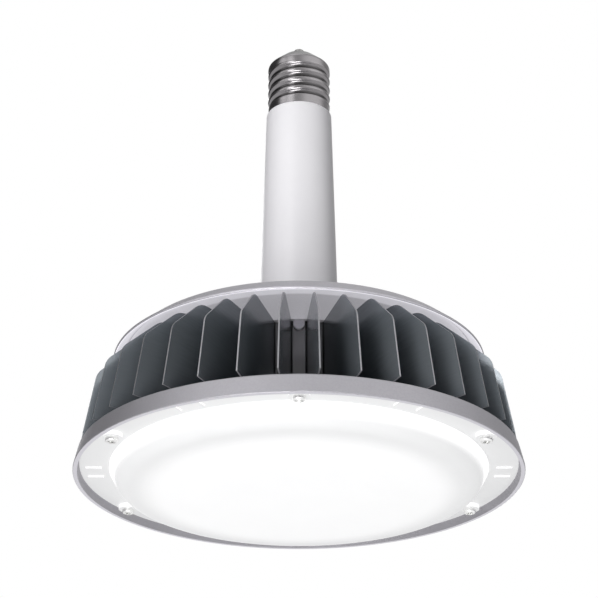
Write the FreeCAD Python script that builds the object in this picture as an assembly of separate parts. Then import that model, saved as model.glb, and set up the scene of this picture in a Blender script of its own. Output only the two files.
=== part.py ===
import FreeCAD, Part
import math
import os

# LED high bay light with an E39 screw cap and its lens facing down, in millimetres.
# The axis is Z, the cap is up, and the origin is the lowest point of the lens, on the axis.
# Front is -Y. Names ending in _r are radii and names ending in _z are heights above the origin.

# ---------------------------------------------------------------- driving dimensions
# Lens: a clear flange with a milky pan below it
lens_drop = 11.0
lens_wall = 2.0
lens_flange_recess = 4.5
lens_flange_width = 17.0
lens_corner_inset = 6.2
lens_corner_rise = 3.2
lens_corner_round = 11.0
lens_flat_r = 62.0
lens_flat_round = 500.0
lens_root_round = 1.0
lens_edge_round = 0.4
lens_boss_r = 5.9
lens_boss_height = 2.4
lens_rib_length = 9.2
lens_rib_width = 1.2
lens_rib_height = 1.0
lens_rib_spacing = 14.6
gasket_inset = 1.3
gasket_width = 3.5
gasket_thickness = 1.0

# Lower body: the rim round the lens and the deck under the heat sink
rim_r = 131.0
rim_height = 11.5
rim_lip = 2.7
rim_outer_draft = 2.7
rim_inner_draft = 0.8
rim_edge_round = 0.6
rim_top_round = 0.8
shelf_round = 0.4
rim_ledge_width = 6.3
deck_rise = 4.0
deck_slope = 3.0
deck_thickness = 2.5
deck_hole_r = 6.0
shelf_cover = 2.2

# Heat sink: a drum with thin radial fins, turned to its outline
fin_count = 36
fin_r = 127.5
fin_height = 60.0
fin_shoulder_r = 120.8
fin_shoulder_drop = 22.2
fin_shoulder_round = 10.0
fin_peak_r = 96.1
fin_peak_round = 14.0
fin_edge_thickness = 0.8
fin_taper = 0.002
fin_root_round = 1.0
drum_r = 55.0
drum_wall = 3.5
pillar_r = 4.2
pillar_inset = 3.0

# Top cover
cover_shoulder_r = 99.4
cover_shoulder_rise = 4.4
cover_rim_r = 112.1
cover_rim_drop = 5.7
cover_rim_lip = 2.8
cover_rim_round = 1.0
cover_shoulder_round = 3.0
cover_ceiling_round = 2.0
cover_pocket_round = 1.0
cover_crown = 1.6
cover_seat_r = 38.0
cover_hole_r = 14.0
cover_centre_thickness = 3.0
cover_lug_width = 6.4
cover_lug_drop = 5.6
cover_lug_thickness = 1.6

# Neck
neck_length = 161.4
neck_foot_r = 36.0
neck_foot_thickness = 3.0
neck_foot_r_at_tube = 24.2
neck_top_r = 20.4
neck_top_round = 1.6
neck_foot_round = 2.4
neck_foot_edge_round = 1.2
neck_wall = 2.5
neck_spigot_round = 0.5

# E39 screw cap
cap_crest_r = 19.65
cap_skirt_r = 19.3
cap_bore_r = 17.2
cap_skirt_round = 0.3
cap_end_wall = 1.2
thread_pitch = 6.35
thread_round = 1.85
thread_depth = 1.8
thread_groove_count = 4
first_groove_rise = 7.5
cap_shoulder_rise = 1.5
cap_shoulder_round = 3.2
shell_end_height = 8.1
shell_end_r = 10.3
shell_end_round = 0.4
insulator_height = 1.6
insulator_end_r = 5.0
insulator_round = 0.5
insulator_depth = 5.0
contact_height = 4.6
contact_r = 3.4
contact_round = 1.2

# Screws: shank, head and recess of the pan-head screws, and the countersunk ones of the deck
screw_shank_r = 2.0
screw_head_r = 3.6
screw_head_height = 2.6
screw_recess_width = 1.1
screw_recess_depth = 1.3
lens_screw_count = 6
lens_screw_inset = 7.4
lens_screw_length = 10.0
drum_screw_count = 6
drum_screw_length = 12.0
neck_screw_count = 4
neck_screw_circle_r = 31.0
neck_screw_length = 6.0
board_screw_count = 3
board_screw_circle_r = 34.0
board_screw_length = 3.6
small_shank_r = 1.4
small_head_r = 2.7
small_head_height = 1.8

# Light-emitting board
led_board_thickness = 1.6
led_chip_size = 5.0
led_chip_thickness = 0.8
led_ring_count = 4
led_ring_first_r = 24.0
led_ring_step = 20.0
led_chips_per_ring = 6

# Driver in the drum
tray_wall = 1.5
tray_height = 48.0
tray_post_count = 4
tray_post_circle_r = 33.0
tray_post_r = 3.2
tray_post_height = 6.0
tray_corner_round = 1.5
driver_board_r = 39.0
driver_board_thickness = 1.6
transformer_core = (30.0, 12.0, 24.0)
transformer_coil = (21.0, 25.0, 17.0)
transformer_coil_round = 5.0
transformer_x = 14.0
capacitor_r = 8.0
capacitor_height = 30.0
capacitor_waist_height = 4.0
capacitor_waist_width = 2.0
capacitor_waist_depth = 0.7
capacitor_round = 0.8
capacitor_x = -13.0
capacitor_y = 13.0
choke_r = 7.5
choke_hole_r = 3.0
choke_height = 8.0
choke_round = 1.5
choke_x = -29.0
fuse_r = 2.6
fuse_length = 16.0
fuse_y = -27.0
fuse_cap_length = 4.0
fuse_cap_wall = 0.3

# Leads
lead_r = 1.1
lead_spacing = 10.0
lead_bend_r = 12.0
lead_board_y = 27.0
lead_straight = 36.0
lead_settle = 72.0
lead_over_driver = 3.0
lead_plug_gap = 0.2

# Clearances
lens_clearance = 0.3
thread_clearance = 0.1
seat_clearance = 0.25
tray_clearance = 0.6
board_clearance = 0.5

# ---------------------------------------------------------------- heights and radii that follow
rim_z = lens_drop
flange_z = rim_z + lens_flange_recess
shelf_z = flange_z + lens_wall + gasket_thickness
rim_top_z = rim_z + rim_height
deck_z = rim_top_z + deck_rise
deck_under_z = deck_z - deck_thickness
cover_z = deck_z + fin_height
cover_top_z = cover_z + cover_shoulder_rise + cover_crown
cap_z = cover_top_z + neck_length
drum_bore_r = drum_r - drum_wall
pillar_circle_r = drum_bore_r - pillar_inset
tray_r = pillar_circle_r - pillar_r - tray_clearance
tray_floor_z = deck_z + tray_wall
driver_z = tray_floor_z + tray_post_height
driver_top_z = driver_z + driver_board_thickness
half_pitch_angle = math.pi / fin_count
thread_end_z = cap_z + first_groove_rise + thread_pitch * thread_groove_count
cap_shoulder_z = thread_end_z + cap_shoulder_rise
shell_end_z = cap_shoulder_z + shell_end_height
cap_cone_slope = shell_end_height / (cap_crest_r - shell_end_r)
cap_cone_drop = cap_end_wall * math.hypot(1.0, cap_cone_slope)
insulator_z = shell_end_z + insulator_height
contact_z = insulator_z + contact_height
rim_inner_r = rim_r - rim_lip
rim_top_r = rim_r - rim_outer_draft
shelf_outer_r = rim_inner_r - rim_inner_draft
lens_flange_r = shelf_outer_r - lens_clearance
lens_root_r = lens_flange_r - lens_flange_width
lens_corner_r = lens_root_r - lens_corner_inset
lens_screw_circle_r = lens_flange_r - lens_screw_inset
gasket_inner_r = lens_root_r + gasket_inset
board_pocket_r = lens_root_r - shelf_cover
led_board_r = board_pocket_r - board_clearance


# ---------------------------------------------------------------- helpers
def rounded_wire(corners):
    """Closed wire in the XZ plane through (r, z) or (r, z, round) corners, with tangent arcs."""
    points = [FreeCAD.Vector(corner[0], 0, corner[1]) for corner in corners]
    rounds = [corner[2] if len(corner) > 2 else 0.0 for corner in corners]
    starts = []
    ends = []
    arcs = []
    for index, point in enumerate(points):
        before = (points[index - 1] - point).normalize()
        after = (points[(index + 1) % len(points)] - point).normalize()
        half = before.getAngle(after) / 2
        setback = rounds[index] / math.tan(half)
        starts.append(point + before * setback)
        ends.append(point + after * setback)
        if rounds[index]:
            inward = (before + after).normalize()
            middle = point + inward * (rounds[index] / math.sin(half) - rounds[index])
            arcs.append(Part.Arc(starts[index], middle, ends[index]).toShape())
        else:
            arcs.append(None)
    edges = []
    for index, arc in enumerate(arcs):
        if arc:
            edges.append(arc)
        following = (index + 1) % len(points)
        if (starts[following] - ends[index]).Length > 1e-6:
            edges.append(Part.makeLine(ends[index], starts[following]))
    return Part.Wire(edges)


def turned(corners):
    """Solid of revolution about Z from the corners of its half section."""
    face = Part.Face(rounded_wire(corners))
    return face.revolve(FreeCAD.Vector(0, 0, 0), FreeCAD.Vector(0, 0, 1), 360)


def cylinder(radius, height, x=0.0, y=0.0, z=0.0):
    """Upright cylinder standing at the given point."""
    return Part.makeCylinder(radius, height, FreeCAD.Vector(x, y, z))


def box(size, x, y, z):
    """Box centred on x and y, standing at z."""
    corner = FreeCAD.Vector(x - size[0] / 2, y - size[1] / 2, z)
    return Part.makeBox(size[0], size[1], size[2], corner)


def around(shape, count, first_deg=0.0):
    """Copies of a shape at equal angles about the axis."""
    copies = []
    for index in range(count):
        copy = shape.copy()
        angle = first_deg + 360.0 * index / count
        copy.rotate(FreeCAD.Vector(0, 0, 0), FreeCAD.Vector(0, 0, 1), angle)
        copies.append(copy)
    return copies


def pan_screw(shank_r, head_r, head_height, length):
    """Pan-head screw with a cross recess; the head's seat is at z = 0 and the shank goes down."""
    corners = [
        (0, -length),
        (shank_r, -length, 0.4 * shank_r),
        (shank_r, 0),
        (head_r, 0),
        (head_r, head_height, 0.45 * head_height),
        (0, head_height),
    ]
    screw = turned(corners)
    floor_z = head_height - screw_recess_depth
    slot = (1.3 * head_r, screw_recess_width, screw_recess_depth)
    across = (screw_recess_width, 1.3 * head_r, screw_recess_depth)
    return screw.cut(box(slot, 0, 0, floor_z)).cut(box(across, 0, 0, floor_z))


def moved(shape, x, y, z):
    """A copy of the shape moved by x, y and z."""
    copy = shape.copy()
    copy.translate(FreeCAD.Vector(x, y, z))
    return copy


def flipped(shape):
    """A copy of the shape turned upside down about the X axis."""
    copy = shape.copy()
    copy.rotate(FreeCAD.Vector(0, 0, 0), FreeCAD.Vector(1, 0, 0), 180)
    return copy


# ---------------------------------------------------------------- lens
def lens_cover():
    """One moulding: flat flange, rounded pan, screw bosses and pairs of short ribs."""
    inner_corner_r = lens_corner_r - 0.75 * lens_wall
    inner_root_r = lens_root_r - lens_wall
    flange_top_z = flange_z + lens_wall
    lens = turned([
        (0, 0),
        (lens_flat_r, 0, lens_flat_round),
        (lens_corner_r, lens_corner_rise, lens_corner_round),
        (lens_root_r, flange_z, lens_root_round),
        (lens_flange_r, flange_z, lens_edge_round),
        (lens_flange_r, flange_top_z, lens_edge_round),
        (inner_root_r, flange_top_z, lens_root_round),
        (inner_corner_r, lens_corner_rise + lens_wall, lens_corner_round - lens_wall),
        (lens_flat_r, lens_wall, lens_flat_round),
        (0, lens_wall),
    ])
    boss_z = flange_z - lens_boss_height
    boss = cylinder(lens_boss_r, lens_boss_height, 0, -lens_screw_circle_r, boss_z)
    hole_height = lens_boss_height + lens_wall
    hole_r = screw_shank_r + lens_clearance
    hole = cylinder(hole_r, hole_height, 0, -lens_screw_circle_r, boss_z)
    rib_size = (lens_rib_width, lens_rib_length, lens_rib_height)
    rib_centre_r = (lens_root_r + lens_flange_r) / 2
    rib_x = lens_rib_spacing / 2
    between = 180.0 / lens_screw_count
    for side_x in (-rib_x, rib_x):
        rib = box(rib_size, side_x, -rib_centre_r, flange_z - lens_rib_height)
        lens = lens.fuse(around(rib, lens_screw_count, between))
    lens = lens.fuse(around(boss, lens_screw_count))
    return lens.cut(around(hole, lens_screw_count))


def lens_screws():
    """Six pan-head screws up through the lens flange into the shelf of the body."""
    screw = flipped(pan_screw(screw_shank_r, screw_head_r, screw_head_height, lens_screw_length))
    screw = moved(screw, 0, -lens_screw_circle_r, flange_z - lens_boss_height)
    return Part.makeCompound(around(screw, lens_screw_count))


def lens_gasket():
    """Flat ring pressed between the lens flange and the shelf."""
    outer = cylinder(gasket_inner_r + gasket_width, gasket_thickness, z=shelf_z - gasket_thickness)
    return outer.cut(cylinder(gasket_inner_r, gasket_thickness, z=shelf_z - gasket_thickness))


# ---------------------------------------------------------------- lower body and light board
def base_body():
    """Rim, shelf and deck as one turned form, drilled for its screws and leads."""
    slope_foot_r = rim_top_r - rim_ledge_width
    body = turned([
        (rim_inner_r, rim_z),
        (rim_r, rim_z, rim_edge_round),
        (rim_top_r, rim_top_z, rim_top_round),
        (slope_foot_r, rim_top_z),
        (slope_foot_r - deck_slope, deck_z),
        (deck_hole_r, deck_z),
        (deck_hole_r, deck_under_z),
        (board_pocket_r, deck_under_z),
        (board_pocket_r, shelf_z),
        (shelf_outer_r, shelf_z, shelf_round),
    ])
    lens_hole_r = screw_shank_r + thread_clearance
    lens_hole_depth = flange_z - lens_boss_height + lens_screw_length - shelf_z + seat_clearance
    lens_hole = cylinder(lens_hole_r, lens_hole_depth, 0, -lens_screw_circle_r, shelf_z)
    sink = countersunk_screw(thread_clearance)
    board_hole_r = small_shank_r + thread_clearance
    board_hole_depth = board_screw_length - led_board_thickness + seat_clearance
    board_hole = cylinder(board_hole_r, board_hole_depth, 0, -board_screw_circle_r, deck_under_z)
    holes = around(lens_hole, lens_screw_count)
    holes += around(sink, drum_screw_count)
    holes += around(board_hole, board_screw_count)
    return body.cut(holes)


def countersunk_screw(grow):
    """Deck screw in place, flush with the deck's underside; grow widens it to make its hole."""
    screw = turned([
        (0, deck_under_z),
        (screw_head_r + grow, deck_under_z),
        (screw_shank_r + grow, deck_under_z + screw_head_r - screw_shank_r),
        (screw_shank_r + grow, deck_under_z + drum_screw_length + grow),
        (0, deck_under_z + drum_screw_length + grow),
    ])
    return moved(screw, 0, -pillar_circle_r, 0)


def base_screws():
    """Six countersunk screws up through the deck into the drum's pillars."""
    return Part.makeCompound(around(countersunk_screw(0.0), drum_screw_count))


def led_board():
    """Round metal-core board flat against the deck."""
    board_z = deck_under_z - led_board_thickness
    board = cylinder(led_board_r, led_board_thickness, z=board_z)
    hole_r = small_shank_r + thread_clearance
    hole = cylinder(hole_r, led_board_thickness, 0, -board_screw_circle_r, board_z)
    return board.cut(around(hole, board_screw_count))


def led_chips():
    """Rings of flat emitter packages under the board, six more in each ring outwards."""
    chip_z = deck_under_z - led_board_thickness - led_chip_thickness
    size = (led_chip_size, led_chip_size, led_chip_thickness)
    chips = []
    for ring in range(led_ring_count):
        ring_r = led_ring_first_r + led_ring_step * ring
        chips += around(box(size, 0, -ring_r, chip_z), led_chips_per_ring * (ring + 1))
    return Part.makeCompound(chips)


def board_screws():
    """Three small screws that hold the light board to the deck."""
    screw = flipped(pan_screw(small_shank_r, small_head_r, small_head_height, board_screw_length))
    screw = moved(screw, 0, -board_screw_circle_r, deck_under_z - led_board_thickness)
    return Part.makeCompound(around(screw, board_screw_count))


# ---------------------------------------------------------------- heat sink
def polar(radius, angle, across=0.0):
    """Point at a radius along an angle, shifted sideways by across."""
    x = radius * math.cos(angle) - across * math.sin(angle)
    y = radius * math.sin(angle) + across * math.cos(angle)
    return FreeCAD.Vector(x, y, deck_z)


def fin_foot():
    """Points of the small round between a fin and the drum, with the fin along the x axis.

    The first lies on the fin's side, the last on the drum, and the middle one on the arc.
    """
    lean = math.hypot(1.0, fin_taper)
    centre_circle_r = drum_r + fin_root_round
    offset = fin_edge_thickness / 2 + fin_taper * fin_r + fin_root_round * lean
    spare = (lean * centre_circle_r) ** 2 - offset ** 2
    centre = FreeCAD.Vector((offset * fin_taper + math.sqrt(spare)) / lean ** 2, 0, 0)
    centre.y = offset - fin_taper * centre.x
    to_side = FreeCAD.Vector(-fin_taper, -1.0, 0) / lean
    to_drum = -centre / centre_circle_r
    between = (to_side + to_drum).normalize()
    return [centre + direction * fin_root_round for direction in (to_side, between, to_drum)]


def fin_section():
    """Outline of drum and fins seen from above, one fin and one gap at a time."""
    foot = fin_foot()
    tip_half = fin_edge_thickness / 2
    edges = []
    for index in range(fin_count):
        angle = (2 * index + 1) * half_pitch_angle - math.pi / 2
        following = angle + 2 * half_pitch_angle
        right_foot = [polar(point.x, angle, -point.y) for point in foot]
        left_foot = [polar(point.x, angle, point.y) for point in foot]
        next_drum_point = polar(foot[2].x, following, -foot[2].y)
        right_tip = polar(fin_r, angle, -tip_half)
        left_tip = polar(fin_r, angle, tip_half)
        root = polar(drum_r, angle + half_pitch_angle)
        edges.append(Part.Arc(right_foot[2], right_foot[1], right_foot[0]).toShape())
        edges.append(Part.makeLine(right_foot[0], right_tip))
        edges.append(Part.makeLine(right_tip, left_tip))
        edges.append(Part.makeLine(left_tip, left_foot[0]))
        edges.append(Part.Arc(left_foot[0], left_foot[1], left_foot[2]).toShape())
        edges.append(Part.Arc(left_foot[2], root, next_drum_point).toShape())
    return Part.Face(Part.Wire(edges))


def heatsink():
    """Drum and fins drawn as one section, then turned to the outline and bored."""
    stock = fin_section().extrude(FreeCAD.Vector(0, 0, fin_height))
    outline = turned([
        (0, deck_z),
        (fin_r, deck_z),
        (fin_shoulder_r, cover_z - fin_shoulder_drop, fin_shoulder_round),
        (fin_peak_r, cover_z, fin_peak_round),
        (0, cover_z),
    ])
    bore = cylinder(drum_bore_r, fin_height, z=deck_z)
    pillar = cylinder(pillar_r, fin_height, 0, -pillar_circle_r, deck_z)
    sink = stock.common(outline).cut(bore)
    sink = sink.fuse(around(pillar, drum_screw_count))
    screw_hole_r = screw_shank_r + thread_clearance
    lower_depth = drum_screw_length - deck_thickness + seat_clearance
    upper_depth = drum_screw_length - cover_shoulder_rise + seat_clearance
    lower = cylinder(screw_hole_r, lower_depth, 0, -pillar_circle_r, deck_z)
    upper = cylinder(screw_hole_r, upper_depth, 0, -pillar_circle_r, cover_z - upper_depth)
    holes = around(lower, drum_screw_count) + around(upper, drum_screw_count)
    return sink.cut(holes).removeSplitter()


# ---------------------------------------------------------------- top cover
def top_cover():
    """Lid with a bevelled rim, a thin centre and round-ended lugs that drop between the fins."""
    bevel = (cover_shoulder_rise + cover_rim_drop) / (cover_rim_r - cover_shoulder_r)
    lip_inner_r = cover_rim_r - cover_rim_lip
    ceiling_r = lip_inner_r - cover_rim_drop / bevel
    pocket_r = pillar_circle_r - pillar_r - seat_clearance
    lid = turned([
        (cover_hole_r, cover_top_z - cover_centre_thickness),
        (pocket_r, cover_top_z - cover_centre_thickness, cover_pocket_round),
        (pocket_r, cover_z),
        (ceiling_r, cover_z, cover_ceiling_round),
        (lip_inner_r, cover_z - cover_rim_drop),
        (cover_rim_r, cover_z - cover_rim_drop, cover_rim_round),
        (cover_shoulder_r, cover_z + cover_shoulder_rise, cover_shoulder_round),
        (cover_seat_r, cover_top_z),
        (cover_hole_r, cover_top_z),
    ])
    lug_round = cover_lug_width / 2
    lug_front_r = drum_r + seat_clearance + cover_lug_thickness
    lug_end_z = cover_z - cover_lug_drop
    lug_start = FreeCAD.Vector(0, -lug_front_r, lug_end_z + lug_round)
    inward = FreeCAD.Vector(0, 1, 0)
    lug = Part.makeCylinder(lug_round, cover_lug_thickness, lug_start, inward)
    lug_size = (cover_lug_width, cover_lug_thickness, cover_lug_drop - lug_round)
    lug_y = cover_lug_thickness / 2 - lug_front_r
    lug = lug.fuse(box(lug_size, 0, lug_y, lug_end_z + lug_round))
    hole_r = screw_shank_r + thread_clearance
    seat_z = cover_z + cover_shoulder_rise
    screw_hole = cylinder(hole_r, cover_shoulder_rise, 0, -pillar_circle_r, cover_z)
    head_seat_r = screw_head_r + seat_clearance
    head_seat = cylinder(head_seat_r, cover_crown, 0, -pillar_circle_r, seat_z)
    neck_hole_z = cover_top_z - cover_centre_thickness
    neck_hole = cylinder(hole_r, cover_centre_thickness, 0, -neck_screw_circle_r, neck_hole_z)
    lid = lid.fuse(around(lug, drum_screw_count)).removeSplitter()
    holes = around(screw_hole, drum_screw_count) + around(head_seat, drum_screw_count)
    holes += around(neck_hole, neck_screw_count, 180.0 / neck_screw_count)
    return lid.cut(holes)


def cover_screws():
    """Six pan-head screws down through the cover into the drum's pillars."""
    screw = pan_screw(screw_shank_r, screw_head_r, screw_head_height, drum_screw_length)
    screw = moved(screw, 0, -pillar_circle_r, cover_z + cover_shoulder_rise)
    return Part.makeCompound(around(screw, drum_screw_count))


# ---------------------------------------------------------------- neck
def neck_housing():
    """Hollow tapered tube with a foot flange and the spigot that carries the screw cap."""
    foot_top_z = cover_top_z + neck_foot_thickness
    spigot_r = cap_bore_r
    spigot_top_z = thread_end_z
    inner_top_r = spigot_r - neck_wall
    neck = turned([
        (neck_foot_r_at_tube - neck_wall, cover_top_z),
        (neck_foot_r, cover_top_z),
        (neck_foot_r, foot_top_z, neck_foot_edge_round),
        (neck_foot_r_at_tube, foot_top_z, neck_foot_round),
        (neck_top_r, cap_z, neck_top_round),
        (spigot_r, cap_z),
        (spigot_r, spigot_top_z, neck_spigot_round),
        (inner_top_r, spigot_top_z, neck_spigot_round),
        (inner_top_r, cap_z - neck_wall),
    ])
    hole_r = screw_shank_r + thread_clearance
    hole = cylinder(hole_r, neck_foot_thickness, 0, -neck_screw_circle_r, cover_top_z)
    return neck.cut(around(hole, neck_screw_count, 180.0 / neck_screw_count))


def neck_screws():
    """Four pan-head screws down through the neck's foot into the cover."""
    screw = pan_screw(screw_shank_r, screw_head_r, screw_head_height, neck_screw_length)
    screw = moved(screw, 0, -neck_screw_circle_r, cover_top_z + neck_foot_thickness)
    return Part.makeCompound(around(screw, neck_screw_count, 180.0 / neck_screw_count))


# ---------------------------------------------------------------- screw cap
def thread_corners():
    """Zigzag corners that, once rounded, give the rolled thread its equal crests and roots."""
    quarter = thread_pitch / 4
    steepness = quarter / math.sqrt(thread_round ** 2 - quarter ** 2)
    middle_r = cap_crest_r - thread_depth / 2
    crest_corner_r = middle_r + quarter * steepness
    root_corner_r = middle_r - quarter * steepness
    first_z = cap_z + first_groove_rise
    last_z = first_z + thread_pitch * (thread_groove_count - 1)
    corners = [(cap_skirt_r, first_z - (cap_skirt_r - root_corner_r) / steepness, thread_round)]
    for groove in range(thread_groove_count):
        groove_z = first_z + thread_pitch * groove
        corners.append((root_corner_r, groove_z, thread_round))
        if groove < thread_groove_count - 1:
            corners.append((crest_corner_r, groove_z + thread_pitch / 2, thread_round))
    corners.append((cap_crest_r, last_z + (cap_crest_r - root_corner_r) / steepness, thread_round))
    return corners


def cap_shell():
    """Screw shell: plain skirt, rounded thread ridges and a cone-shaped end over a plain bore."""
    bore_end_z = cap_shoulder_z + (cap_crest_r - cap_bore_r) * cap_cone_slope - cap_cone_drop
    corners = [(cap_bore_r, cap_z), (cap_skirt_r, cap_z, cap_skirt_round)]
    corners += thread_corners()
    corners += [
        (cap_crest_r, cap_shoulder_z, cap_shoulder_round),
        (shell_end_r, shell_end_z, shell_end_round),
        (shell_end_r, shell_end_z - cap_cone_drop),
        (cap_bore_r, bore_end_z),
    ]
    return turned(corners)


def cap_insulator():
    """Insulating plug in the open end of the shell, bored for the centre lead."""
    lead_bore_r = lead_r + thread_clearance
    return turned([
        (lead_bore_r, insulator_z - insulator_depth),
        (shell_end_r, insulator_z - insulator_depth),
        (shell_end_r, shell_end_z - shell_end_round),
        (insulator_end_r, insulator_z, insulator_round),
        (lead_bore_r, insulator_z),
    ])


def cap_contact():
    """Round centre contact on the insulator."""
    return turned([
        (0, insulator_z),
        (contact_r, insulator_z),
        (contact_r, contact_z, contact_round),
        (0, contact_z),
    ])


# ---------------------------------------------------------------- driver in the drum
def driver_tray():
    """Insulating cup that stands on the deck inside the drum, with posts for the driver board."""
    tray = turned([
        (deck_hole_r, deck_z),
        (tray_r, deck_z, tray_corner_round),
        (tray_r, deck_z + tray_height),
        (tray_r - tray_wall, deck_z + tray_height),
        (tray_r - tray_wall, tray_floor_z, tray_corner_round),
        (deck_hole_r, tray_floor_z),
    ])
    post = cylinder(tray_post_r, tray_post_height, 0, -tray_post_circle_r, tray_floor_z)
    post_hole = cylinder(small_shank_r + thread_clearance, tray_post_height,
                         0, -tray_post_circle_r, tray_floor_z)
    first = 180.0 / tray_post_count
    tray = tray.fuse(around(post, tray_post_count, first))
    return tray.cut(around(post_hole, tray_post_count, first))


def driver_board():
    """Round circuit board on the tray's posts, drilled for its screws and output leads."""
    board = cylinder(driver_board_r, driver_board_thickness, z=driver_z)
    hole_r = small_shank_r + thread_clearance
    hole = cylinder(hole_r, driver_board_thickness, 0, -tray_post_circle_r, driver_z)
    return board.cut(around(hole, tray_post_count, 180.0 / tray_post_count))


def driver_screws():
    """Small screws that hold the driver board on its posts."""
    length = driver_board_thickness + tray_post_height - seat_clearance
    screw = pan_screw(small_shank_r, small_head_r, small_head_height, length)
    screw = moved(screw, 0, -tray_post_circle_r, driver_top_z)
    return Part.makeCompound(around(screw, tray_post_count, 180.0 / tray_post_count))


def driver_transformer():
    """Core with its wound bobbin."""
    core = box(transformer_core, transformer_x, 0, driver_top_z)
    coil_z = driver_top_z + (transformer_core[2] - transformer_coil[2]) / 2
    coil = box(transformer_coil, transformer_x, 0, coil_z)
    upright = [edge for edge in coil.Edges if abs(edge.tangentAt(edge.FirstParameter).z) > 0.9]
    return core.fuse(coil.makeFillet(transformer_coil_round, upright))


def driver_capacitors():
    """Two cylindrical capacitors with the crimped waist near their foot."""
    waist_z = driver_top_z + capacitor_waist_height
    half_waist = capacitor_waist_width / 2
    can = turned([
        (0, driver_top_z),
        (capacitor_r, driver_top_z, capacitor_round),
        (capacitor_r, waist_z - half_waist),
        (capacitor_r - capacitor_waist_depth, waist_z),
        (capacitor_r, waist_z + half_waist),
        (capacitor_r, driver_top_z + capacitor_height, capacitor_round),
        (0, driver_top_z + capacitor_height),
    ])
    return Part.makeCompound([moved(can, capacitor_x, side * capacitor_y, 0) for side in (-1, 1)])


def driver_choke():
    """Ring-shaped coil that lies on the board."""
    ring = turned([
        (choke_hole_r, driver_top_z, choke_round),
        (choke_r, driver_top_z, choke_round),
        (choke_r, driver_top_z + choke_height, choke_round),
        (choke_hole_r, driver_top_z + choke_height, choke_round),
    ])
    return moved(ring, choke_x, 0, 0)


def driver_fuse():
    """Glass tube fuse with a cap at each end, lying on the board."""
    axis = FreeCAD.Vector(1, 0, 0)
    tube_r = fuse_r - fuse_cap_wall
    fuse = Part.makeCylinder(tube_r, fuse_length, FreeCAD.Vector(-fuse_length / 2, 0, 0), axis)
    for start in (-fuse_length / 2, fuse_length / 2 - fuse_cap_length):
        cap = Part.makeCylinder(fuse_r, fuse_cap_length, FreeCAD.Vector(start, 0, 0), axis)
        fuse = fuse.fuse(cap)
    return moved(fuse, 0, fuse_y, driver_top_z + fuse_r)


# ---------------------------------------------------------------- leads
def lead(points):
    """Round wire along straight runs joined by tangent arcs."""
    vectors = [FreeCAD.Vector(*point) for point in points]
    edges = []
    start = vectors[0]
    for before, point, after in zip(vectors, vectors[1:], vectors[2:]):
        back = (before - point).normalize()
        ahead = (after - point).normalize()
        half = back.getAngle(ahead) / 2
        shorter = min((before - point).Length, (after - point).Length)
        radius = min(lead_bend_r, 0.45 * shorter * math.tan(half))
        setback = radius / math.tan(half)
        inward = (back + ahead).normalize()
        middle = point + inward * (radius / math.sin(half) - radius)
        edges.append(Part.makeLine(start, point + back * setback))
        edges.append(Part.Arc(point + back * setback, middle, point + ahead * setback).toShape())
        start = point + ahead * setback
    edges.append(Part.makeLine(start, vectors[-1]))
    path = Part.Wire(edges)
    circle = Part.Wire(Part.makeCircle(lead_r, vectors[0], vectors[1] - vectors[0]))
    return path.makePipeShell([circle], True, False)


def neck_lead(start_x, start_z, side):
    """Lead from the cap down the neck, over the driver and down to its board."""
    x = side * lead_spacing / 2
    over_driver_z = driver_top_z + transformer_core[2] + lead_over_driver
    return lead([
        (start_x, 0, start_z),
        (start_x, 0, start_z - lead_straight),
        (x, 0, start_z - lead_settle),
        (x, 0, cover_top_z),
        (x, lead_board_y, over_driver_z),
        (x, lead_board_y, driver_top_z),
    ])


def lead_live():
    """Lead from the centre contact to the driver."""
    return neck_lead(0.0, insulator_z, 1)


def lead_neutral():
    """Lead from the inside of the shell's cone to the driver."""
    reach = 2 * lead_r + lead_plug_gap
    start_z = shell_end_z - cap_cone_drop - reach * cap_cone_slope
    return neck_lead(lead_r - shell_end_r - reach, start_z, -1)


def output_leads():
    """Two straight leads from the driver board through tray and deck to the light board."""
    height = driver_z - deck_under_z
    leads = [cylinder(lead_r, height, side * deck_hole_r / 2, 0, deck_under_z) for side in (-1, 1)]
    return Part.makeCompound(leads)


# ---------------------------------------------------------------- parts
PARTS = {
    "cap_shell": cap_shell,
    "cap_insulator": cap_insulator,
    "cap_contact": cap_contact,
    "neck_housing": neck_housing,
    "neck_screws": neck_screws,
    "top_cover": top_cover,
    "cover_screws": cover_screws,
    "heatsink": heatsink,
    "base_body": base_body,
    "base_screws": base_screws,
    "led_board": led_board,
    "led_chips": led_chips,
    "board_screws": board_screws,
    "lens_gasket": lens_gasket,
    "lens_cover": lens_cover,
    "lens_screws": lens_screws,
    "driver_tray": driver_tray,
    "driver_board": driver_board,
    "driver_screws": driver_screws,
    "driver_transformer": driver_transformer,
    "driver_capacitors": driver_capacitors,
    "driver_choke": driver_choke,
    "driver_fuse": driver_fuse,
    "lead_live": lead_live,
    "lead_neutral": lead_neutral,
    "output_leads": output_leads,
}

os.makedirs("parts", exist_ok=True)
for name, make in PARTS.items():
    shape = make()
    shape.exportStep("parts/" + name + ".step")
    if not shape.isValid():
        raise ValueError(name + " is not a valid shape")
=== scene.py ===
import math

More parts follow.
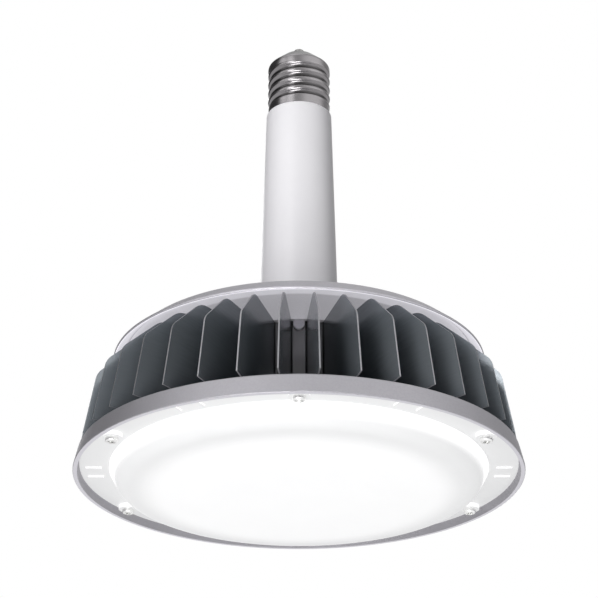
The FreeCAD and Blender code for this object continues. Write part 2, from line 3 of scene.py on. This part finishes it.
import bmesh
import bpy
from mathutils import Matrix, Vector


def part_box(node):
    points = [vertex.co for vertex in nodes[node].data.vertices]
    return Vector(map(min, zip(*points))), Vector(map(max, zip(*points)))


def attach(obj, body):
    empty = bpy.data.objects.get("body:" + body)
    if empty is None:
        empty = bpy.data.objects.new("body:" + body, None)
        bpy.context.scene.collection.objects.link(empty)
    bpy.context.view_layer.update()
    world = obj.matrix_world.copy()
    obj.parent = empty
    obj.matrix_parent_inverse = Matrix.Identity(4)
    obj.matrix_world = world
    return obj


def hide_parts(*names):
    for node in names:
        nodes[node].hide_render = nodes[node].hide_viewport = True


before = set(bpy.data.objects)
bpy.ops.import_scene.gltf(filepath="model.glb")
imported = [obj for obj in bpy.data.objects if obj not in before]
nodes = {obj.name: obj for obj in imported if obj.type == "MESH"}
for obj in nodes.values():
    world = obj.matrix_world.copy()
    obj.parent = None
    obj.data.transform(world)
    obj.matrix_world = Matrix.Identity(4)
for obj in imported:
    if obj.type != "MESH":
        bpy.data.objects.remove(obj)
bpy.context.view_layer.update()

CAP_LOW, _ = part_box("cap_shell")
MM = 0.001

bpy.context.scene.view_settings.view_transform = "Standard"


# ---------------------------------------------------------------- camera
# Low in front of the light and tilted up; the tilt is in radians, lens and sensor in millimetres
CAMERA_LOCATION = (0.0, -1.0898, -0.388)
CAMERA_TILT = 0.441
CAMERA_LENS = 119.9
CAMERA_SENSOR = 36.0
CAMERA_NEAR = 0.05
CAMERA_FAR = 50.0

camera_data = bpy.data.cameras.new("camera")
camera_data.sensor_width = CAMERA_SENSOR
camera_data.lens = CAMERA_LENS
camera_data.clip_start = CAMERA_NEAR
camera_data.clip_end = CAMERA_FAR
camera = bpy.data.objects.new("camera", camera_data)
camera.location = CAMERA_LOCATION
camera.rotation_euler = (math.pi / 2 + CAMERA_TILT, 0.0, 0.0)
bpy.context.scene.collection.objects.link(camera)
bpy.context.scene.camera = camera


# ---------------------------------------------------------------- helpers
# The span that holds nearly all values of a noise
NOISE_SPAN = (0.3, 0.7)


def mm(*lengths):
    """Lengths in metres from millimetres."""
    return tuple(length * MM for length in lengths)


def rgba(value):
    """An RGBA from a grey level or a colour."""
    if isinstance(value, (int, float)):
        return (value, value, value, 1.0)
    return (*tuple(value)[:3], 1.0)


class Graph:
    """Builds the node tree of a material or of the world."""

    def __init__(self, owner):
        owner.use_nodes = True
        self.tree = owner.node_tree

    def add(self, kind, **settings):
        node = self.tree.nodes.new(kind)
        for key, value in settings.items():
            setattr(node, key, value)
        return node

    def feed(self, value, socket):
        """Links a socket, or writes a plain value or a colour."""
        if isinstance(value, bpy.types.NodeSocket):
            self.tree.links.new(value, socket)
        elif socket.type == "RGBA":
            socket.default_value = rgba(value)
        else:
            socket.default_value = value

    def math(self, operation, first, second=0.0):
        node = self.add("ShaderNodeMath", operation=operation)
        self.feed(first, node.inputs[0])
        self.feed(second, node.inputs[1])
        return node.outputs[0]

    def step(self, value, span, low=0.0, high=1.0):
        """Smooth step from low to high as a value crosses a span."""
        node = self.add("ShaderNodeMapRange", interpolation_type="SMOOTHSTEP")
        self.feed(value, node.inputs["Value"])
        self.feed(span[0], node.inputs["From Min"])
        self.feed(span[1], node.inputs["From Max"])
        self.feed(low, node.inputs["To Min"])
        self.feed(high, node.inputs["To Max"])
        return node.outputs["Result"]

    def rays(self):
        """Whether a ray is reflected or refracted, and whether it is the camera's."""
        path = self.add("ShaderNodeLightPath").outputs
        reflected = self.math("MAXIMUM", path["Is Glossy Ray"], path["Is Transmission Ray"])
        return reflected, path["Is Camera Ray"]


class Material(Graph):
    """Builds one material round its Principled shader."""

    SOCKETS = {
        "color": "Base Color",
        "metallic": "Metallic",
        "roughness": "Roughness",
        "ior": "IOR",
        "specular": "Specular IOR Level",
        "emission": "Emission Color",
        "glow": "Emission Strength",
    }

    def __init__(self, name):
        self.material = bpy.data.materials.new(name)
        super().__init__(self.material)
        self.shader = self.tree.nodes["Principled BSDF"]

    def set(self, **values):
        for key, value in values.items():
            self.feed(value, self.shader.inputs[self.SOCKETS[key]])

    def vary(self, noise, low, high):
        """Spreads a noise over a range."""
        return self.step(noise, NOISE_SPAN, low, high)

    def ramp(self, noise, low, high):
        """Blends two colours by a noise."""
        node = self.add("ShaderNodeValToRGB")
        for element, position, colour in zip(
                node.color_ramp.elements, NOISE_SPAN, (low, high)):
            element.position = position
            element.color = rgba(colour)
        self.feed(noise, node.inputs["Fac"])
        return node.outputs["Color"]

    def mix(self, factor, first, second, blend="MIX"):
        node = self.add("ShaderNodeMix", data_type="RGBA", blend_type=blend)
        self.feed(factor, node.inputs["Factor"])
        self.feed(first, node.inputs["A"])
        self.feed(second, node.inputs["B"])
        return node.outputs["Result"]

    def tint(self, colour, tone):
        """A colour times a tone that varies over the surface."""
        return self.mix(1.0, colour, tone, "MULTIPLY")

    def noise(self, scale, detail, roughness=0.55, stretch=(1.0, 1.0, 1.0)):
        """Noise in object space; the scale is in cells per metre."""
        coordinates = self.add("ShaderNodeTexCoord")
        mapping = self.add("ShaderNodeMapping")
        self.feed(stretch, mapping.inputs["Scale"])
        self.feed(coordinates.outputs["Object"], mapping.inputs["Vector"])
        node = self.add("ShaderNodeTexNoise")
        self.feed(scale, node.inputs["Scale"])
        self.feed(detail, node.inputs["Detail"])
        self.feed(roughness, node.inputs["Roughness"])
        self.feed(mapping.outputs["Vector"], node.inputs["Vector"])
        return node.outputs["Fac"]

    def place(self):
        """Distance from the axis, x and y of the point, in object space."""
        coordinates = self.add("ShaderNodeTexCoord")
        split = self.add("ShaderNodeSeparateXYZ")
        self.feed(coordinates.outputs["Object"], split.inputs[0])
        x, y, _ = split.outputs
        squares = self.math("ADD", self.math("MULTIPLY", x, x), self.math("MULTIPLY", y, y))
        return self.math("SQRT", squares), x, y

    def normal(self):
        """Components of the surface normal."""
        geometry = self.add("ShaderNodeNewGeometry")
        split = self.add("ShaderNodeSeparateXYZ")
        self.feed(geometry.outputs["Normal"], split.inputs[0])
        return split.outputs

    def bump(self, height, strength, distance):
        node = self.add("ShaderNodeBump")
        self.feed(strength, node.inputs["Strength"])
        self.feed(distance, node.inputs["Distance"])
        self.feed(height, node.inputs["Height"])
        self.feed(node.outputs["Normal"], self.shader.inputs["Normal"])


def finish_with(node_name, material):
    """Puts a material on a CAD node."""
    mesh = nodes[node_name].data
    if not mesh.materials:
        mesh.materials.append(material)
    for index in range(len(mesh.materials)):
        mesh.materials[index] = material


# ---------------------------------------------------------------- materials
def paint(name, colour, bands=()):
    """Silver powder paint with a slight orange peel.

    Surfaces that face down glow with painted light, in place of the light that the lens and the
    floor throw back up. A band is a span of radius, in millimetres, and what this painted glow
    grows by across it. On a paint with bands, the lugs near the drum get less of the glow, which
    is painted shade, and the inner wall of the outer lip glows with painted light too.
    """
    # Painted light: a glow on surfaces that face down, in place of light thrown back up
    painted_under_glow = 0.3
    painted_glow_colour = (0.95, 0.935, 1.0)
    down_span = (-0.75, -0.95)
    lug_span = mm(57.5, 58.5)
    lug_glow_share = 0.25
    inward_span = (-0.3, -0.7)
    lip_span = mm(100, 105)

    g = Material(name)
    peel = g.noise(scale=900.0, detail=2.0)
    cloud = g.noise(scale=18.0, detail=3.0)
    nx, ny, nz = g.normal()
    facing = g.step(nz, down_span)
    glow = painted_under_glow
    if bands:
        r, x, y = g.place()
        for start, end, more in bands:
            glow = g.math("ADD", glow, g.step(r, mm(start, end), 0.0, more))
        # Painted shade: the lugs near the drum get only a share of the painted glow
        facing = g.math("MULTIPLY", facing, g.step(r, lug_span, lug_glow_share, 1.0))
        # Painted light also on the inner wall of the outer lip
        along = g.math("ADD", g.math("MULTIPLY", nx, x), g.math("MULTIPLY", ny, y))
        inward = g.step(g.math("DIVIDE", along, r), inward_span)
        lip = g.math("MULTIPLY", inward, g.step(r, lip_span))
        facing = g.math("MAXIMUM", facing, lip)
    g.set(
        color=g.tint(colour, g.vary(cloud, 0.97, 1.03)),
        metallic=0.8,
        roughness=g.vary(peel, 0.46, 0.58),
        emission=painted_glow_colour,
        glow=g.math("MULTIPLY", facing, glow),
    )
    g.bump(peel, strength=0.10, distance=0.1 * MM)
    return g.material


def anodised(name):
    """Dark glossy anodised aluminium, with painted light that makes the fins lighter outwards and
    painted shade that makes the drum darkest.

    The outer edges of the fins carry a painted highlight: they are lighter in colour, and
    rougher.
    They are told from the fins' flanks by their normals, which hardly point along the tangent.
    """
    edge_tangent_span = (0.35, 0.2)
    edge_span = mm(90, 100)
    # Painted light: the fins lighten outwards towards this colour
    fin_light_span = mm(92, 124)
    fin_light_share = 0.45
    fin_painted_light_colour = (0.32, 0.345, 0.37)
    # Painted shade: the drum between the fins' roots darkens to this colour
    drum_shade_span = mm(58, 56)
    drum_painted_shade_colour = (0.075, 0.075, 0.077)
    edge_highlight_roughness = 0.15

    g = Material(name)
    r, x, y = g.place()
    nx, ny, _ = g.normal()
    across = g.math("SUBTRACT", g.math("MULTIPLY", ny, x), g.math("MULTIPLY", nx, y))
    tangential = g.math("ABSOLUTE", g.math("DIVIDE", across, r))
    # Painted highlight on the fins' outer edges
    edge_highlight = g.math("MULTIPLY", g.step(tangential, edge_tangent_span), g.step(r, edge_span))
    streaks = g.noise(scale=60.0, detail=4.0, roughness=0.6, stretch=(1.0, 1.0, 14.0))
    fine = g.noise(scale=700.0, detail=2.0)
    dark = g.ramp(streaks, (0.150, 0.170, 0.187), (0.178, 0.200, 0.219))
    # Painted light outwards on the fins, then painted shade on the drum
    dark = g.mix(g.step(r, fin_light_span, 0.0, fin_light_share), dark, fin_painted_light_colour)
    dark = g.mix(g.step(r, drum_shade_span), dark, drum_painted_shade_colour)
    # Lighter colour of the painted edge highlight
    bright = g.ramp(fine, (0.24, 0.24, 0.255), (0.31, 0.31, 0.325))
    smooth = g.vary(fine, 0.17, 0.23)
    g.set(
        color=g.mix(edge_highlight, dark, bright),
        metallic=0.55,
        roughness=g.math("ADD", smooth, g.math("MULTIPLY", edge_highlight, edge_highlight_roughness)),
        ior=1.6,
    )
    g.bump(streaks, strength=0.05, distance=0.1 * MM)
    return g.material


def lens_plastic(name):
    """Milky, lit pan in a clear flange; steep faces of the clear plastic glow more."""
    pan_span = mm(98, 79)
    pan_edge_glow = 0.51
    pan_glow = 0.67
    flange_span = mm(109.5, 111.5)
    flange_loss = -0.07
    steep_span = (-0.8, -0.4)
    clear_span = mm(105, 108)
    steep_glow = 0.3
    milky_span = mm(107, 104)
    milky_roughness = 0.3

    g = Material(name)
    r, _, _ = g.place()
    _, _, nz = g.normal()
    cloud = g.noise(scale=40.0, detail=3.0)
    fine = g.noise(scale=1200.0, detail=2.0)
    pan = g.step(r, pan_span, pan_edge_glow, pan_glow)
    pan = g.math("ADD", pan, g.step(r, flange_span, 0.0, flange_loss))
    pan = g.math("MULTIPLY", pan, g.vary(cloud, 0.98, 1.0))
    steep = g.math("MULTIPLY", g.step(nz, steep_span), g.step(r, clear_span, 0.0, steep_glow))
    smooth = g.vary(fine, 0.16, 0.24)
    g.set(
        color=(0.40, 0.402, 0.405),
        roughness=g.math("ADD", smooth, g.step(r, milky_span, 0.0, milky_roughness)),
        ior=1.49,
        specular=0.08,
        emission=1.0,
        glow=g.math("ADD", pan, steep),
    )
    g.bump(fine, strength=0.05, distance=0.05 * MM)
    return g.material


def moulded(name, colour, roughness=0.35):
    """Satin moulded plastic."""
    g = Material(name)
    fine = g.noise(scale=1500.0, detail=2.0)
    cloud = g.noise(scale=25.0, detail=3.0)
    g.set(
        color=g.tint(colour, g.vary(cloud, 0.975, 1.0)),
        roughness=g.vary(fine, roughness - 0.04, roughness + 0.05),
        ior=1.5,
    )
    g.bump(fine, strength=0.06, distance=0.05 * MM)
    return g.material


def metal(name, colour, roughness, groove_r=None):
    """Bare or plated metal with faint scratches.

    groove_r is a radius in millimetres, and inside it the metal is darker, which is painted
    shade.
    """
    wear = 0.12
    groove_fade = 0.6
    groove_shade_tone = 0.2

    g = Material(name)
    fine = g.noise(scale=160.0, detail=5.0, roughness=0.65, stretch=(1.0, 1.0, 6.0))
    cloud = g.noise(scale=60.0, detail=3.0)
    tone = g.vary(cloud, 1.0 - wear, 1.0 + wear / 2)
    # Painted shade inside the thread's grooves
    if groove_r:
        r, _, _ = g.place()
        groove_shade = g.step(r, mm(groove_r, groove_r + groove_fade), groove_shade_tone, 1.0)
        tone = g.math("MULTIPLY", tone, groove_shade)
    g.set(
        color=g.tint(colour, tone),
        metallic=1.0,
        roughness=g.vary(fine, roughness - 0.05, roughness + 0.07),
    )
    g.bump(fine, strength=0.03, distance=0.03 * MM)
    return g.material


# Painted light on the cover's underside: its painted glow grows near the fins' peaks, across its
# bevel and on the lip's edge
COVER_PAINTED_GLOW_BANDS = [(90.5, 92.5, 0.19), (97.0, 107.0, 0.26), (108.5, 109.0, 0.1)]
# Painted shade darkens the cap just inside the roots of its rolled thread
THREAD_GROOVE_R = 17.75

steel = metal("steel", (0.90, 0.90, 0.89), roughness=0.3)
nickel = metal("nickel_plate", (0.25, 0.24, 0.247), roughness=0.2, groove_r=THREAD_GROOVE_R)

FINISHES = {
    "cap_shell": nickel,
    "cap_insulator": moulded("insulator", (0.10, 0.10, 0.11), roughness=0.2),
    "cap_contact": metal("contact_metal", (0.26, 0.255, 0.25), roughness=0.35),
    "neck_housing": moulded("neck_plastic", (0.80, 0.79, 0.81)),
    "neck_screws": steel,
    "top_cover": paint("cover_paint", (0.42, 0.41, 0.44), COVER_PAINTED_GLOW_BANDS),
    "cover_screws": steel,
    "heatsink": anodised("anodised_aluminium"),
    "base_body": paint("body_paint", (0.35, 0.342, 0.366)),
    "base_screws": steel,
    "led_board": moulded("board_white", (0.80, 0.81, 0.80), roughness=0.4),
    "led_chips": moulded("chip_yellow", (0.85, 0.68, 0.20), roughness=0.3),
    "board_screws": steel,
    "lens_gasket": moulded("gasket_rubber", (0.72, 0.72, 0.72), roughness=0.55),
    "lens_cover": lens_plastic("lens_plastic"),
    "lens_screws": steel,
    "driver_tray": moulded("tray_plastic", (0.13, 0.13, 0.14), roughness=0.45),
    "driver_board": moulded("board_green", (0.05, 0.22, 0.10), roughness=0.35),
    "driver_screws": steel,
    "driver_transformer": moulded("coil_tape", (0.75, 0.55, 0.12), roughness=0.4),
    "driver_capacitors": moulded("can_sleeve", (0.06, 0.07, 0.12), roughness=0.3),
    "driver_choke": moulded("ferrite", (0.07, 0.14, 0.09), roughness=0.5),
    "driver_fuse": moulded("fuse_ceramic", (0.75, 0.74, 0.70), roughness=0.4),
    "lead_live": moulded("lead_black", (0.03, 0.03, 0.03), roughness=0.4),
    "lead_neutral": moulded("lead_white", (0.75, 0.75, 0.74), roughness=0.4),
    "output_leads": moulded("lead_red", (0.48, 0.03, 0.03), roughness=0.4),
}
for node_name, material in FINISHES.items():
    finish_with(node_name, material)


# ---------------------------------------------------------------- screw cap with a rolled thread
def screw_cap():
    """Sheet-metal cap with a right-hand rolled thread, in place of the ringed CAD cap.

    Lengths are in millimetres, and heights are above the cap's open end. The thread's crests and
    roots are tangent arcs of one radius, and at both ends it fades into plain metal.
    """
    pitch = 6.35
    crest_r = 19.65
    depth = 1.8
    root_r = crest_r - depth
    wave_r = 1.85
    groove_height = 7.5
    thread_start = 4.4
    thread_end = 28.2
    fade = 2.6
    skirt_r = 19.3
    shoulder_height = 34.4
    shoulder_round = 3.2
    shell_end = 42.5
    shell_end_r = 10.3
    brim_run = 0.25
    brim_rise = 0.15
    wall = 0.5
    hem_drop = 0.2

    segments = 160
    skirt_rows = [0.0, 0.5, 1.6, 3.0]
    first_thread_row = 3.8
    thread_row_count = 150
    shoulder_row_count = 10
    cone_rows = [0.2, 0.4, 0.6, 0.8, 0.93, 1.0]
    base_z = CAP_LOW.z / MM

    def wave(turns):
        """Radius of the full thread, some turns away from a crest."""
        offset = abs((turns + 0.5) % 1.0 - 0.5) * pitch
        if offset < pitch / 4:
            return crest_r - wave_r + math.sqrt(wave_r ** 2 - offset ** 2)
        return root_r + wave_r - math.sqrt(wave_r ** 2 - (pitch / 2 - offset) ** 2)

    def ease(value):
        value = min(max(value, 0.0), 1.0)
        return value * value * (3 - 2 * value)

    def radius(height, angle):
        """Radius of the threaded part; at the front a groove lies at groove_height."""
        turns = (height - groove_height) / pitch - 0.5 - (angle + math.pi / 2) / (2 * math.pi)
        share = ease((height - thread_start) / fade) * ease((thread_end + fade - height) / fade)
        plain = skirt_r if height < (thread_start + thread_end) / 2 else crest_r
        return plain + (wave(turns) - plain) * share

    heights = list(skirt_rows)
    thread_rows_height = thread_end + fade - first_thread_row
    for index in range(thread_row_count + 1):
        heights.append(first_thread_row + thread_rows_height * index / thread_row_count)
    angles = [2 * math.pi * index / segments for index in range(segments)]
    rings = [[(radius(height, angle), height) for angle in angles] for height in heights]

    cone_slope = math.atan2(shell_end - shoulder_height, crest_r - shell_end_r)
    shoulder_turn = math.pi / 2 - cone_slope
    setback = shoulder_round * math.tan(shoulder_turn / 2)
    profile = []
    for index in range(shoulder_row_count + 1):
        turn = shoulder_turn * index / shoulder_row_count
        profile.append((
            crest_r - shoulder_round * (1 - math.cos(turn)),
            shoulder_height - setback + shoulder_round * math.sin(turn),
        ))
    cone_r, cone_z = profile[-1]
    for share in cone_rows:
        profile.append((
            cone_r + (shell_end_r + brim_run - cone_r) * share,
            cone_z + (shell_end - brim_rise - cone_z) * share,
        ))
    profile.append((shell_end_r, shell_end))
    profile.append((shell_end_r - wall, shell_end - hem_drop))
    rings += [[point] * segments for point in profile]

    mesh = bmesh.new()
    loops = []
    for ring in rings:
        loop = []
        for angle, (r, z) in zip(angles, ring):
            x, y = r * math.cos(angle), r * math.sin(angle)
            loop.append(mesh.verts.new((x * MM, y * MM, (base_z + z) * MM)))
        loops.append(loop)
    for lower, upper in zip(loops, loops[1:]):
        for index in range(segments):
            following = (index + 1) % segments
            mesh.faces.new((lower[index], lower[following], upper[following], upper[index]))
    mesh.normal_update()
    data = bpy.data.meshes.new("screw_cap")
    mesh.to_mesh(data)
    mesh.free()
    for polygon in data.polygons:
        polygon.use_smooth = True
    data.materials.append(nickel)
    piece = bpy.data.objects.new("screw_cap", data)
    bpy.context.scene.collection.objects.link(piece)
    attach(piece, "root")
    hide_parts("cap_shell")


screw_cap()


# ---------------------------------------------------------------- floor
# Far enough below the light to stay out of the main view
FLOOR_Z = -1.8
FLOOR_R = 16.0
FLOOR_SEGMENTS = 96


def floor_material():
    """Pale matt floor that is also pale to the camera and in reflections."""
    reflected_glow = 0.6
    seen_glow = 0.5

    g = Material("floor")
    cloud = g.noise(scale=3.0, detail=2.0)
    reflected, seen = g.rays()
    g.set(
        color=g.ramp(cloud, 0.86, 0.88),
        roughness=0.7,
        emission=1.0,
        glow=g.math(
            "ADD",
            g.math("MULTIPLY", reflected, reflected_glow),
            g.math("MULTIPLY", seen, seen_glow),
        ),
    )
    return g.material


floor_mesh = bmesh.new()
bmesh.ops.create_circle(floor_mesh, cap_ends=True, segments=FLOOR_SEGMENTS, radius=FLOOR_R)
floor_data = bpy.data.meshes.new("floor")
floor_mesh.to_mesh(floor_data)
floor_mesh.free()
floor_data.materials.append(floor_material())
floor = bpy.data.objects.new("floor", floor_data)
floor.location = (0.0, 0.0, FLOOR_Z)
bpy.context.scene.collection.objects.link(floor)


# ---------------------------------------------------------------- world
world = bpy.data.worlds.new("world")
bpy.context.scene.world = world
world_graph = Graph(world)
world_graph.tree.nodes.remove(world_graph.tree.nodes["Background"])
toward = world_graph.add("ShaderNodeTexCoord").outputs["Generated"]


def sky(colour, strength, patches=()):
    """Background whose strength changes towards some directions.

    A patch is a direction, the cosines where it starts and is full, and what it adds there.
    """
    for direction, start, full, more in patches:
        dot = world_graph.add("ShaderNodeVectorMath", operation="DOT_PRODUCT")
        world_graph.feed(toward, dot.inputs[0])
        world_graph.feed(Vector(direction).normalized(), dot.inputs[1])
        patch = world_graph.step(dot.outputs["Value"], (start, full), 0.0, more)
        strength = world_graph.math("ADD", patch, strength)
    background = world_graph.add("ShaderNodeBackground")
    world_graph.feed(colour, background.inputs["Color"])
    world_graph.feed(strength, background.inputs["Strength"])
    return background.outputs["Background"]


def either(factor, first, second):
    """The first shader where the factor is 0, and the second where it is 1."""
    node = world_graph.add("ShaderNodeMixShader")
    world_graph.feed(factor, node.inputs["Fac"])
    world_graph.feed(first, node.inputs[1])
    world_graph.feed(second, node.inputs[2])
    return node.outputs["Shader"]


# Diffuse light comes least from the right, behind
soft = sky(colour=(0.45, 0.45, 0.46), strength=1.1, patches=[
    ((0.85, 0.5, 0.0), -0.4, 0.8, -1.1),
])
mirror = sky(colour=1.0, strength=0.78, patches=[
    ((-0.80, 0.45, 0.40), 0.5, 0.95, -0.7),    # reflections are weaker behind, at the left
    ((0.80, 0.50, 0.40), 0.75, 0.97, -0.3),    # and at the right,
    ((0.80, -0.50, 0.33), 0.6, 0.95, 0.7),     # and stronger at the front right;
    ((-0.82, -0.42, 0.40), 0.955, 0.99, 1.2),  # two bright patches at the front left
    ((-0.50, -0.77, 0.40), 0.955, 0.99, 1.2),  # give the thread its highlights
])
white = sky(colour=1.0, strength=1.0)
reflected_ray, camera_ray = world_graph.rays()
lit = either(reflected_ray, soft, mirror)
seen = either(camera_ray, lit, white)
world_graph.feed(seen, world_graph.tree.nodes["World Output"].inputs["Surface"])


# ---------------------------------------------------------------- lamps
MIDDLE = (0.0, 0.0, 0.12)
LENS_CENTRE = (0.0, 0.0, 0.0)


def area(name, location, size, power, target=MIDDLE):
    """Soft rectangular lamp aimed at a point; the size is its width and height."""
    data = bpy.data.lights.new(name, "AREA")
    data.shape = "RECTANGLE"
    data.size, data.size_y = size
    data.energy = power
    lamp = bpy.data.objects.new(name, data)
    lamp.location = location
    direction = Vector(target) - Vector(location)
    lamp.rotation_euler = direction.to_track_quat("-Z", "Y").to_euler()
    bpy.context.scene.collection.objects.link(lamp)


area("key", location=(-0.75, -1.5, 0.22), size=(0.6, 1.5), power=10.0)
area("fill", location=(1.3, -0.9, 0.1), size=(0.8, 1.2), power=1.0)
area("top", location=(-0.4, -0.3, 1.6), size=(1.2, 1.2), power=3.0)
area("below", location=(-0.12, -0.75, -0.55), size=(0.5, 0.5), power=6.0, target=LENS_CENTRE)
area("back", location=(-0.4, 1.7, 0.6), size=(1.0, 1.0), power=7.0)
